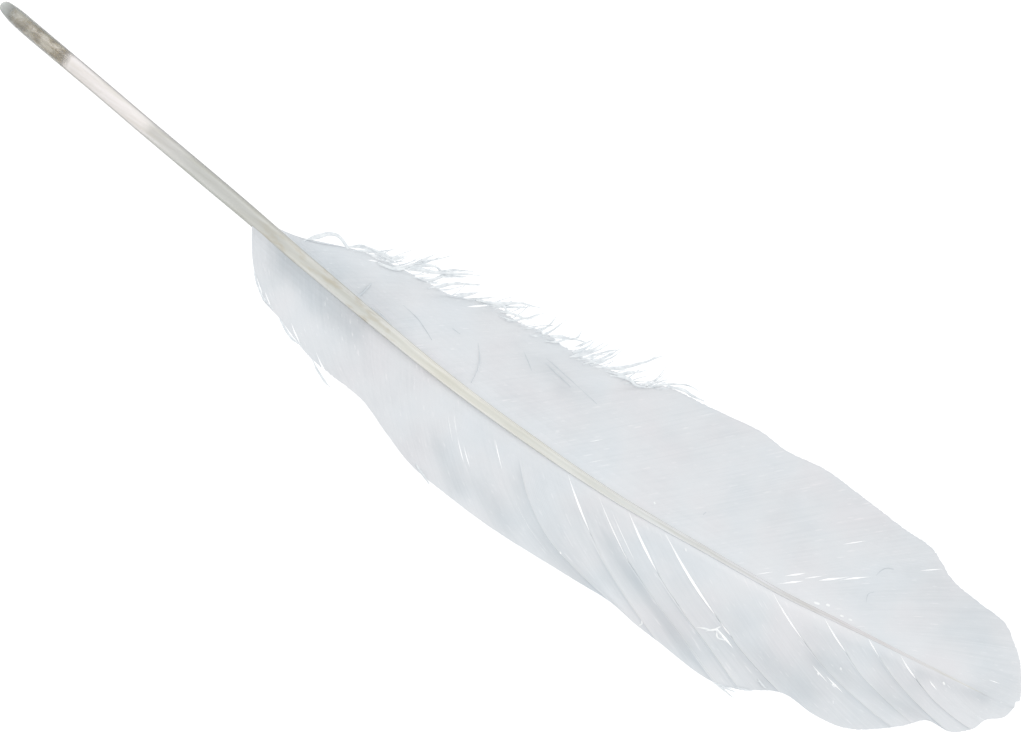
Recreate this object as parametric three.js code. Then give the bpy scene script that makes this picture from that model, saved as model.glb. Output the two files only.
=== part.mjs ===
import * as THREE from "three";

// A goose wing feather lying with its underside up. Millimetres.
// +X runs from the end of the bare quill to the tip, +Y to the broad vane, +Z up.

const featherLength = 300;
const quillDiameter = 4.2;
const quillCentreHeight = quillDiameter / 2;
const vaneThicknessAtRoot = 0.5;
const vaneThicknessAtEdge = 0.32;
const rootClearance = 0.3; // between a vane and the shaft that it grows from
const splitClearance = 0.3; // between two webs where they close up
const lapOfWebs = 1.1; // how far a web reaches over its neighbour, along the shaft
const lapHeight = 0.9; // how far its lapping edge stands above its other edge
const quillLift = 3.2; // the bare quill curves up off the table by this much
const quillLiftsFrom = 62;
const tipLift = 2.4;
const tipLiftsFrom = 252;
const sectionChangesFrom = 66; // the round quill turns into the rachis over this stretch
const sectionChangesTo = 112;

// Centreline of the shaft: distance along the feather, sideways place, width, height.
const shaftStations = [
  [0.0, 0.0, 0.0, 0.0],
  [0.5, -0.1, 1.7, 1.7],
  [1.4, -0.2, 2.7, 2.7],
  [2.8, -0.4, 3.5, 3.5],
  [5, -0.7, 4.0, 4.0],
  [9, -1.2, 4.2, 4.2],
  [20, -2.3, 4.2, 4.2],
  [32, -3.5, 4.2, 4.2],
  [44, -4.8, 4.2, 4.2],
  [56, -6.0, 4.2, 4.2],
  [68, -7.2, 4.2, 4.2],
  [78, -8.2, 4.1, 4.1],
  [86, -9.1, 4.0, 4.0],
  [94, -10.0, 3.9, 3.9],
  [102, -10.8, 3.8, 3.8],
  [112, -11.8, 3.6, 3.7],
  [122, -12.7, 3.4, 3.6],
  [132, -13.6, 3.2, 3.4],
  [144, -14.4, 3.0, 3.2],
  [156, -14.85, 2.85, 3.0],
  [168, -15.05, 2.7, 2.8],
  [180, -15.1, 2.5, 2.6],
  [192, -14.8, 2.25, 2.35],
  [204, -14.0, 1.95, 2.1],
  [216, -13.0, 1.7, 1.85],
  [228, -12.05, 1.5, 1.6],
  [240, -10.9, 1.3, 1.35],
  [252, -9.15, 1.1, 1.1],
  [264, -7.5, 0.85, 0.85],
  [276, -5.9, 0.65, 0.6],
  [286, -4.5, 0.45, 0.42],
  [293, -3.6, 0.35, 0.3],
];

// Half of the rachis's section, from the middle of its flat back up to the groove,
// as shares of its width and height.
const rachisSection = [
  [0, 0],
  [0.3, 0],
  [0.45, 0.09],
  [0.5, 0.36],
  [0.47, 0.7],
  [0.37, 0.93],
  [0.25, 1],
  [0.1, 0.94],
  [0, 0.89],
];

// Barbs that shape the broad vane: place of the root along the feather,
// then the point that bends the barb, then its tip.
const broadBarbs = [
  [88, 91, -5.8, 95, -5.3],
  [90, 95, -4.5, 103, -1.9],
  [94, 100, -3.5, 110, -0.6],
  [99, 106, -3.2, 117, 0.9],
  [105, 113, -3.0, 124, 2.1],
  [111, 119, -3.0, 131, 3.4],
  [117, 125, -3.0, 138, 6.9],
  [123, 132, -3.2, 146, 7.0],
  [131, 141, -3.0, 155, 8.4],
  [139, 149, -3.0, 164, 8.6],
  [147, 158, -2.5, 173, 10.2],
  [153, 165, -2.0, 181, 11.4],
  [158, 170, -1.0, 186, 14.4],
  [168, 181, -1.0, 197, 16.2],
  [180, 194, -0.8, 211, 18.4],
  [188, 202, -0.5, 219, 18.1],
  [197, 211, 0.0, 229, 19.6],
  [210, 224, 0.5, 242, 19.2],
  [221, 235, 1.0, 253, 18.6],
  [229, 243, 1.5, 261, 18.6],
  [233.5, 247.5, 1.5, 265.5, 16.9],
  [238, 252, 1.0, 270, 14.9],
  [245, 259, 1.5, 278, 14.1],
  [252, 266, 2.0, 286, 13.6],
  [259, 272, 1.5, 291, 10.8],
  [266, 279, 1.2, 295, 7.6],
  [273, 285, 0.0, 298, 3.6],
  [280, 290, -1.0, 300, 0.2],
  [287, 294, -1.8, 299.2, -0.9],
  [292.4, 296, -2.6, 299.9, -1.8],
];

// The same for the narrow vane.
const narrowBarbs = [
  [81, 85, -18.5, 93, -23.8],
  [84, 89, -20.5, 99, -25.2],
  [88, 93.5, -21.5, 105, -27.2],
  [94, 100, -22.5, 111, -28.9],
  [100, 107, -24.0, 118, -29.4],
  [108, 115, -24.5, 127, -30.2],
  [116, 123, -25.0, 136, -33.4],
  [124, 131, -26.0, 145, -36.3],
  [132, 139, -27.0, 154, -37.3],
  [143, 151, -28.0, 170, -38.0],
  [155.5, 169, -31.0, 192, -37.1],
  [163, 178, -31.5, 204, -36.5],
  [170, 187, -31.0, 212, -37.5],
  [177.5, 195.5, -30.2, 219, -37.9],
  [186, 208, -31.0, 233, -38.7],
  [195, 216, -29.5, 241.5, -36.6],
  [205, 227, -28.5, 251, -31.2],
  [215, 238, -27.5, 261, -31.1],
  [225, 248, -25.5, 270, -28.9],
  [235, 256, -23.0, 279, -22.0],
  [249, 267, -19.5, 284, -16.8],
  [261, 275, -15.5, 290.5, -15.8],
  [269.5, 282, -13.5, 294.4, -12.3],
  [280, 289, -9.5, 296, -8.4],
  [288, 294, -6.5, 299.2, -5.4],
  [292.4, 296, -4.0, 299.8, -2.6],
];

// Webs of the narrow vane: name, root of the first barb, how wide the split
// before it gapes, how far out along the barb that gape has closed.
const narrowWebs = [
  ["narrow_vane_base", 81, 0, 0.5],
  ["narrow_vane_web_2", 163, 0, 0.5],
  ["narrow_vane_web_3", 177.5, 1.3, 0.5],
  ["narrow_vane_web_4", 186, 0.4, 0.6],
  ["narrow_vane_web_5", 195, 1.5, 0.55],
  ["narrow_vane_web_6", 205, 1.9, 0.6],
  ["narrow_vane_web_7", 235, 0.9, 0.4],
  ["narrow_vane_web_8", 249, 0.7, 0.4],
  ["narrow_vane_web_9", 261, 0.6, 0.35],
  ["narrow_vane_tip", 269.5, 0.9, 0.4],
];
const narrowVaneEnds = 292.4;
const broadVaneStarts = 88;
const broadVaneParts = 233.5;
const broadVaneEnds = 292.4;
const creaseGape = 0.5;
const creaseCloses = 0.75;

const pointsAcross = 10;
const shaftSurface = { color: 0xdad8c9, roughness: 0.42, metalness: 0 };
const vaneSurface = { color: 0xe1e5ea, roughness: 0.85, metalness: 0 };
const tipSurface = { color: 0xd8dde4, roughness: 0.85, metalness: 0 };

function smoothCurve(rows) {
  const size = rows[0].length - 1;
  const places = rows.map((row) => row[0]);
  const values = rows.flatMap((row) => row.slice(1));
  return new THREE.CubicInterpolant(places, values, size);
}

function ease(from, to, value) {
  return THREE.MathUtils.smoothstep(value, from, to);
}

const shaftCurve = smoothCurve(shaftStations);
const broadCurve = smoothCurve(broadBarbs);
const narrowCurve = smoothCurve(narrowBarbs);

function lift(x) {
  const atQuill = Math.max(0, (quillLiftsFrom - x) / quillLiftsFrom);
  const atTip = Math.max(0, (x - tipLiftsFrom) / (featherLength - tipLiftsFrom));
  return quillLift * atQuill ** 2 + tipLift * atTip ** 2;
}

function shaftAt(x) {
  const [y, width, height] = shaftCurve.evaluate(x);
  const step = 0.5;
  const before = shaftCurve.evaluate(Math.max(0, x - step))[0];
  const after = shaftCurve.evaluate(Math.min(293, x + step))[0];
  const along = new THREE.Vector2(Math.min(293, x + step) - Math.max(0, x - step), after - before);
  along.normalize();
  const across = new THREE.Vector2(-along.y, along.x);
  return { x, y, width, height, across };
}

function mesh(name, surface, points, triangles) {
  const geometry = new THREE.BufferGeometry();
  geometry.setAttribute("position", new THREE.Float32BufferAttribute(points, 3));
  geometry.setIndex(triangles);
  geometry.computeVertexNormals();
  const piece = new THREE.Mesh(geometry, new THREE.MeshStandardMaterial(surface));
  piece.name = name;
  return piece;
}

// Shaft: rings of 16 points, round along the quill and grooved along the rachis.

function sectionPoint(index, blend) {
  const turn = (index / 16) * 2 * Math.PI;
  const round = [0.5 * Math.sin(turn), 0.5 - 0.5 * Math.cos(turn)];
  const half = rachisSection[index <= 8 ? index : 16 - index];
  const grooved = [index <= 8 ? half[0] : -half[0], half[1]];
  const sideways = THREE.MathUtils.lerp(round[0], grooved[0], blend);
  const upward = THREE.MathUtils.lerp(round[1], grooved[1], blend);
  return [sideways, upward];
}

function quillShaft() {
  const points = [];
  const triangles = [];
  const stations = shaftStations.slice(1).map((row) => shaftAt(row[0]));
  points.push(0, shaftStations[0][1], quillCentreHeight + lift(0));
  for (const station of stations) {
    const blend = ease(sectionChangesFrom, sectionChangesTo, station.x);
    const rounding = station.x < 10 ? quillCentreHeight - station.height / 2 : 0;
    for (let i = 0; i < 16; i += 1) {
      const [sideways, upward] = sectionPoint(i, blend);
      const offset = sideways * station.width;
      points.push(
        station.x + station.across.x * offset,
        station.y + station.across.y * offset,
        rounding + upward * station.height + lift(station.x),
      );
    }
  }
  const last = stations[stations.length - 1];
  points.push(last.x, last.y, last.height / 2 + lift(last.x));
  for (let i = 0; i < 16; i += 1) {
    const next = (i + 1) % 16;
    triangles.push(0, 1 + next, 1 + i);
    for (let ring = 0; ring < stations.length - 1; ring += 1) {
      const here = 1 + ring * 16;
      const there = here + 16;
      triangles.push(here + i, there + next, there + i);
      triangles.push(here + i, here + next, there + next);
    }
    const end = 1 + (stations.length - 1) * 16;
    triangles.push(end + i, end + next, points.length / 3 - 1);
  }
  return mesh("quill_shaft", shaftSurface, points, triangles);
}

// Vanes: each web is a thin closed sheet, laid out along its barbs.

function barbPoint(side, root, share) {
  const shaft = shaftAt(root);
  const edge = side * (shaft.width / 2 + rootClearance);
  const start = new THREE.Vector2(shaft.x, shaft.y).addScaledVector(shaft.across, edge);
  const curve = side > 0 ? broadCurve : narrowCurve;
  const [bendX, bendY, tipX, tipY] = curve.evaluate(root);
  const bend = new THREE.Vector2(bendX, bendY);
  const tip = new THREE.Vector2(tipX, tipY);
  return new THREE.QuadraticBezierCurve(start, bend, tip).getPoint(share);
}

function vaneHeight(side, root, share) {
  const slim = ease(0, 1.6, shaftAt(root).height);
  if (side > 0) {
    return lift(root) + 0.2 + slim * (0.35 - 1.8 * share + 4.2 * share ** 2);
  }
  return lift(root) + 0.25 + slim * (0.55 - 0.6 * share + 2.4 * share ** 2);
}

// How far a split is open at this share of the barb's length, measured along the shaft.
function splitWidth(gape, closes, share) {
  const bow = Math.sin(Math.PI * Math.min(1, share / closes + 0.12));
  return Math.max(splitClearance, gape * bow);
}

function web(name, surface, side, first, last) {
  const rows = Math.max(3, Math.ceil((last.root - first.root) / 4.5));
  const points = [];
  const triangles = [];
  for (let j = 0; j <= rows; j += 1) {
    const across = j / rows;
    for (let i = 0; i <= pointsAcross; i += 1) {
      const share = i / pointsAcross;
      const from = first.root + first.inset(share);
      const to = last.root - last.inset(share);
      const root = THREE.MathUtils.lerp(from, to, across);
      const place = barbPoint(side, root, share);
      const reach = ease(0.0, 0.3, share);
      const tilt = side < 0 ? lapHeight * reach * (first.laps * (1 - across) - last.lapped * across) / 2 : 0;
      const middle = vaneHeight(side, root, share) + tilt;
      const half = THREE.MathUtils.lerp(vaneThicknessAtRoot, vaneThicknessAtEdge, share) / 2;
      points.push(place.x, place.y, middle + half);
      points.push(place.x, place.y, middle - half);
    }
  }
  const at = (j, i) => 2 * (j * (pointsAcross + 1) + i);
  const quad = (a, b, c, d) => {
    if (side > 0) {
      triangles.push(a, b, c, a, c, d);
    } else {
      triangles.push(a, c, b, a, d, c);
    }
  };
  for (let j = 0; j < rows; j += 1) {
    for (let i = 0; i < pointsAcross; i += 1) {
      quad(at(j, i), at(j + 1, i), at(j + 1, i + 1), at(j, i + 1));
      quad(at(j, i) + 1, at(j, i + 1) + 1, at(j + 1, i + 1) + 1, at(j + 1, i) + 1);
    }
    quad(at(j, 0), at(j, 0) + 1, at(j + 1, 0) + 1, at(j + 1, 0));
    const i = pointsAcross;
    quad(at(j, i), at(j + 1, i), at(j + 1, i) + 1, at(j, i) + 1);
  }
  for (let i = 0; i < pointsAcross; i += 1) {
    quad(at(0, i), at(0, i + 1), at(0, i + 1) + 1, at(0, i) + 1);
    quad(at(rows, i), at(rows, i) + 1, at(rows, i + 1) + 1, at(rows, i + 1));
  }
  return mesh(name, surface, points, triangles);
}

function freeEdge(root) {
  return { root, inset: () => 0, laps: 0, lapped: 0 };
}

function parting(root, gape, closes) {
  const inset = (share) => splitWidth(gape, closes, share) / 2;
  return { root, inset, laps: 0, lapped: 0 };
}

function lappingEdge(root, gape, closes) {
  const inset = (share) => {
    const open = splitWidth(gape, closes, share) / 2;
    return open - lapOfWebs * ease(closes, closes + 0.25, share);
  };
  return { root, inset, laps: 1, lapped: 0 };
}

function lappedEdge(root, gape, closes) {
  return { root, inset: (share) => splitWidth(gape, closes, share) / 2, laps: 0, lapped: 1 };
}

function broadVane() {
  const crease = parting(broadVaneParts, creaseGape, creaseCloses);
  return [
    web("broad_vane", vaneSurface, 1, freeEdge(broadVaneStarts), crease),
    web("broad_vane_tip", tipSurface, 1, crease, freeEdge(broadVaneEnds)),
  ];
}

function narrowVane() {
  return narrowWebs.map(([name, root, gape, closes], index) => {
    const first = index === 0 ? freeEdge(root) : lappingEdge(root, gape, closes);
    const next = narrowWebs[index + 1];
    const last = next ? lappedEdge(next[1], next[2], next[3]) : freeEdge(narrowVaneEnds);
    const surface = root > 230 ? tipSurface : vaneSurface;
    return web(name, surface, -1, first, last);
  });
}

const feather = new THREE.Group();
feather.add(quillShaft(), ...broadVane(), ...narrowVane());
// The frame's origin is under the middle of the feather's bounding box.
const box = new THREE.Box3().setFromObject(feather);
const middle = box.getCenter(new THREE.Vector3());
feather.position.set(-middle.x, -middle.y, -box.min.z);

export default feather;
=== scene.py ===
import math
import random

import bmesh
import bpy
from mathutils import Matrix, Vector, noise


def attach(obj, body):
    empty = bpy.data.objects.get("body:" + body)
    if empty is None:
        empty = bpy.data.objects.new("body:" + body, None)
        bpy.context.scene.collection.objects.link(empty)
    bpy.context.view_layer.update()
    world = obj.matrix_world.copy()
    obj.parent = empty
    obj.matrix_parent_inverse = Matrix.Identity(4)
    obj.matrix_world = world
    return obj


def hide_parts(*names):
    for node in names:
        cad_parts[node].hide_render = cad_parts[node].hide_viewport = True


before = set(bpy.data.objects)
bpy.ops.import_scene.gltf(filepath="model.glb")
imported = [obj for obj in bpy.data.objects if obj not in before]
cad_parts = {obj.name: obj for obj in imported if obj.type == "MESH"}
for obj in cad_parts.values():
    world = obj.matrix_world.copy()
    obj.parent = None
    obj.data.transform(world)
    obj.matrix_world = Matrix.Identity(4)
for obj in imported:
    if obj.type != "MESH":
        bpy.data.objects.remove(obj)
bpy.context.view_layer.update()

# A goose wing feather, underside up. Shapes are laid out in millimetres along the
# feather: x from the end of the quill to the tip, y towards the broad vane. A vane's
# side is 1 for the broad one and -1 for the narrow one.
mm = 0.001
featherLength = 300
lowest = 0.02  # barbs stay this far above the surface that the feather lies on
featherOrigin = Vector((-149.991, 9.536, 0))  # from those millimetres to the CAD frame


def toScene(x, y, z):
    return (Vector((x, y, z)) + featherOrigin) * mm


def smoothStep(start, end, value):
    t = min(1, max(0, (value - start) / (end - start)))
    return t * t * (3 - 2 * t)


def mix(a, b, share):
    return a + (b - a) * share


def smoothCurve(rows):
    # a smooth curve through rows of (place, value, value, ...), flat past its ends
    places = [row[0] for row in rows]
    slopes = []
    for i, row in enumerate(rows):
        before, after = rows[max(0, i - 1)], rows[min(len(rows) - 1, i + 1)]
        gap = after[0] - before[0]
        slopes.append([(b - a) / gap for a, b in zip(before[1:], after[1:])])

    def evaluate(place):
        place = min(places[-1], max(places[0], place))
        i = 0
        while i < len(rows) - 2 and place > places[i + 1]:
            i += 1
        span = places[i + 1] - places[i]
        t = (place - places[i]) / span
        fade = 2 * t**3 - 3 * t**2 + 1
        leave = (t**3 - 2 * t**2 + t) * span
        arrive = (t**3 - t**2) * span
        return [
            fade * a + leave * slopeA + (1 - fade) * b + arrive * slopeB
            for a, b, slopeA, slopeB in zip(rows[i][1:], rows[i + 1][1:], slopes[i], slopes[i + 1])
        ]

    return evaluate


# Materials

def linearColour(hexCode):
    channels = [int(hexCode[i : i + 2], 16) / 255 for i in (1, 3, 5)]
    return [c / 12.92 if c <= 0.04045 else ((c + 0.055) / 1.055) ** 2.4 for c in channels] + [1]


def newMaterial(name):
    material = bpy.data.materials.new(name)
    material.use_nodes = True
    material.node_tree.nodes.clear()
    return material


def addNode(material, kind, settings=None, links=None):
    # settings fill properties or unlinked sockets, links join (node, output) to sockets
    node = material.node_tree.nodes.new(kind)
    for key, value in (settings or {}).items():
        if isinstance(key, str) and hasattr(node, key):
            setattr(node, key, value)
        else:
            node.inputs[key].default_value = value
    for key, (source, output) in (links or {}).items():
        material.node_tree.links.new(source.outputs[output], node.inputs[key])
    return node


def colourRamp(material, stops, factor):
    node = addNode(material, "ShaderNodeValToRGB", links={"Fac": factor})
    ramp = node.color_ramp
    while len(ramp.elements) < len(stops):
        ramp.elements.new(0.5)
    for element, (place, hexCode) in zip(ramp.elements, stops):
        element.position = place
        element.color = linearColour(hexCode)
    return node


vaneLook = {
    "barb": "#e3e6e9",
    "shaded": "#b4bdc3",
    "lit": "#f6f6f8",
    "tints": [(0.35, "#fffdfd"), (0.5, "#ffffff"), (0.65, "#fcfeff")],
    "roughness": 0.6,
    # how far each pattern moves the colour between shaded and lit
    "shadeDepth": 0.22,
    "cloudDepth": 0.04,
    "streakDepth": 0.025,
    "dashDepth": 0.2,
    "barbDepth": 0.015,
    "cloudSize": 11,  # millimetres
    "tintSize": 20,
    "sheen": 0.1,
    "showThrough": 0.12,  # share of the light that comes through from behind
}


def combedKeratinVane():
    # keratin barbs, grown and combed: matt off-white, faintly blue where light is lost
    # between the barbs, with a soft sheen along them
    material = newMaterial("combedKeratinVane")
    barb = addNode(material, "ShaderNodeAttribute", {"attribute_name": "barb"})
    place = addNode(material, "ShaderNodeSeparateXYZ", links={0: (barb, "Vector")})
    shade = addNode(material, "ShaderNodeAttribute", {"attribute_name": "shade"})
    coordinates = addNode(material, "ShaderNodeTexCoord")
    clouds = addNode(
        material, "ShaderNodeTexNoise", {"Scale": 1 / (vaneLook["cloudSize"] * mm), "Detail": 3.0},
        {"Vector": (coordinates, "Object")},
    )
    # streaks run along the barbs, a fifth of a barb long and 1 mm wide, and white dashes
    # half of that each way
    streakPlace = addNode(
        material, "ShaderNodeMapping", {"Scale": (5.0, 1.0, 0.0)}, {"Vector": (barb, "Vector")}
    )
    streaks = addNode(
        material, "ShaderNodeTexNoise", {"Scale": 1.0, "Detail": 4.0},
        {"Vector": (streakPlace, "Vector")},
    )
    dashPlace = addNode(
        material, "ShaderNodeMapping", {"Location": (3.0, 8.0, 0.0), "Scale": (10.0, 2.0, 0.0)},
        {"Vector": (barb, "Vector")},
    )
    dashes = addNode(
        material, "ShaderNodeTexNoise", {"Scale": 1.0, "Detail": 2.0},
        {"Vector": (dashPlace, "Vector")},
    )
    tone = None
    for source, output, low, high, depth in (
        (clouds, "Fac", 0.3, 0.7, vaneLook["cloudDepth"]),
        (streaks, "Fac", 0.3, 0.7, vaneLook["streakDepth"]),
        (place, "Z", 0.0, 1.0, vaneLook["barbDepth"]),
        (shade, "Fac", -1.0, 1.0, vaneLook["shadeDepth"]),
    ):
        part = addNode(
            material, "ShaderNodeMapRange",
            {"From Min": low, "From Max": high, "To Min": -depth, "To Max": depth},
            {"Value": (source, output)},
        )
        if tone:
            tone = addNode(
                material, "ShaderNodeMath", {"operation": "ADD"}, {0: (tone, 0), 1: (part, 0)}
            )
        else:
            tone = part
    dash = addNode(
        material, "ShaderNodeMapRange",
        {"From Min": 0.64, "From Max": 0.74, "To Min": 0.5, "To Max": 0.5 + vaneLook["dashDepth"]},
        {"Value": (dashes, "Fac")},
    )
    tone = addNode(material, "ShaderNodeMath", {"operation": "ADD"}, {0: (tone, 0), 1: (dash, 0)})
    colour = colourRamp(
        material,
        [(0, vaneLook["shaded"]), (0.5, vaneLook["barb"]), (1, vaneLook["lit"])],
        (tone, 0),
    )
    # faint warm and cool areas
    areas = addNode(
        material, "ShaderNodeTexNoise", {"Scale": 1 / (vaneLook["tintSize"] * mm), "Detail": 2.0},
        {"Vector": (coordinates, "Object")},
    )
    tint = colourRamp(material, vaneLook["tints"], (areas, "Fac"))
    colour = addNode(
        material, "ShaderNodeMixRGB", {"blend_type": "MULTIPLY", "Fac": 1.0},
        {"Color1": (colour, "Color"), "Color2": (tint, "Color")},
    )
    keratin = addNode(
        material, "ShaderNodeBsdfPrincipled",
        {"Roughness": vaneLook["roughness"], "IOR": 1.54, "Specular IOR Level": 0.3,
         "Sheen Weight": vaneLook["sheen"], "Sheen Roughness": 0.5},
        {"Base Color": (colour, "Color")},
    )
    through = addNode(
        material, "ShaderNodeBsdfTranslucent", links={"Color": (colour, "Color")}
    )
    both = addNode(
        material, "ShaderNodeMixShader", {0: vaneLook["showThrough"]},
        {1: (keratin, 0), 2: (through, 0)},
    )
    addNode(material, "ShaderNodeOutputMaterial", links={"Surface": (both, 0)})
    return material


def looseStrandsAndSeamShade(name, colours):
    # barbs loose from the web, downy or snapped and nearly white, and darker strands put along
    # seams that lie in shade: matt, with little shade
    material = newMaterial(name)
    coordinates = addNode(material, "ShaderNodeTexCoord")
    clumps = addNode(
        material, "ShaderNodeTexNoise", {"Scale": 1 / (1.5 * mm), "Detail": 2.0},
        {"Vector": (coordinates, "Object")},
    )
    colour = colourRamp(material, [(0.35, colours[0]), (0.65, colours[1])], (clumps, "Fac"))
    down = addNode(
        material, "ShaderNodeBsdfPrincipled",
        {"Roughness": 0.8, "IOR": 1.54, "Specular IOR Level": 0.2},
        {"Base Color": (colour, "Color")},
    )
    addNode(material, "ShaderNodeOutputMaterial", links={"Surface": (down, 0)})
    return material


quillLook = {
    # place along the feather, colour of the horn there
    "zones": [
        (0, "#d2d6d5"), (3, "#d8dcda"), (5, "#eff0ee"), (20, "#f6f3ed"), (22, "#fffbfa"),
        (45.5, "#fefaf8"), (47.5, "#f6f4f2"), (62, "#e2e3df"), (92, "#d9dad7"), (112, "#dbdddd"),
        (138, "#eeeeeb"), (158, "#e9eae8"), (180, "#e6e8e8"), (205, "#e8ebf0"), (232, "#e6e8ef"),
        (255, "#e0dfe5"), (276, "#e2e2e6"), (293, "#eceef0"),
    ],
    # place along the feather, how clear the horn is there
    "clearness": [(1.5, 0.1), (5, 0.85), (20, 0.85), (22, 0.2), (60, 0.16), (92, 0.0)],
    # place across the shaft, from its narrow vane to its broad one, and the shade painted there:
    # painted shade along both sides of the quill with painted light just inside it, a duller core
    # where it is hollow, and painted highlights on the ridges beside the groove of the rachis,
    # with painted shade along its edges
    "quillShadeAcross": [
        (0.0, "#a8abaa"), (0.07, "#dedfde"), (0.13, "#fefdfd"), (0.3, "#ffffff"), (0.59, "#fcfbfb"),
        (0.83, "#ffffff"), (0.9, "#ececec"), (0.95, "#bfbfc0"), (1.0, "#a2a3a4"),
    ],
    "hollowShadeAcross": [
        (0.0, "#a8abaa"), (0.07, "#e2e4e2"), (0.17, "#ffffff"), (0.3, "#f2f2f1"), (0.48, "#e4e4e3"),
        (0.66, "#e3e3e2"), (0.78, "#f1f1f0"), (0.88, "#e0e0df"), (0.95, "#c2c2c3"), (1.0, "#a6a7a8"),
    ],
    "rachisShadeAcross": [
        (0.0, "#d0d0cd"), (0.06, "#f8f8f6"), (0.15, "#f3f2ef"), (0.28, "#ebebe6"), (0.47, "#e6e6e1"),
        (0.6, "#ebebe6"), (0.74, "#fdfcf8"), (0.81, "#fffefa"), (0.9, "#f3f2ee"), (1.0, "#e2e1de"),
    ],
    "hollowFrom": (45.5, 47.5),  # where the duller core sets in
    "stain": "#b8b19e",
    "stained": (80, 128),  # place along the feather
    "stainFade": 6,  # how much of that, at each end, the stain takes to set in
    "stainDepth": 0.6,
    "stainSize": (4.35, 1.61),  # millimetres along and across the shaft
    "grainSize": (16.67, 1.11),
    "grainBump": 0.05,
    "roughness": (0.2, 0.42),  # at the clear end, along the rachis
    "clearEndsAt": (20, 24),
}


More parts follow.
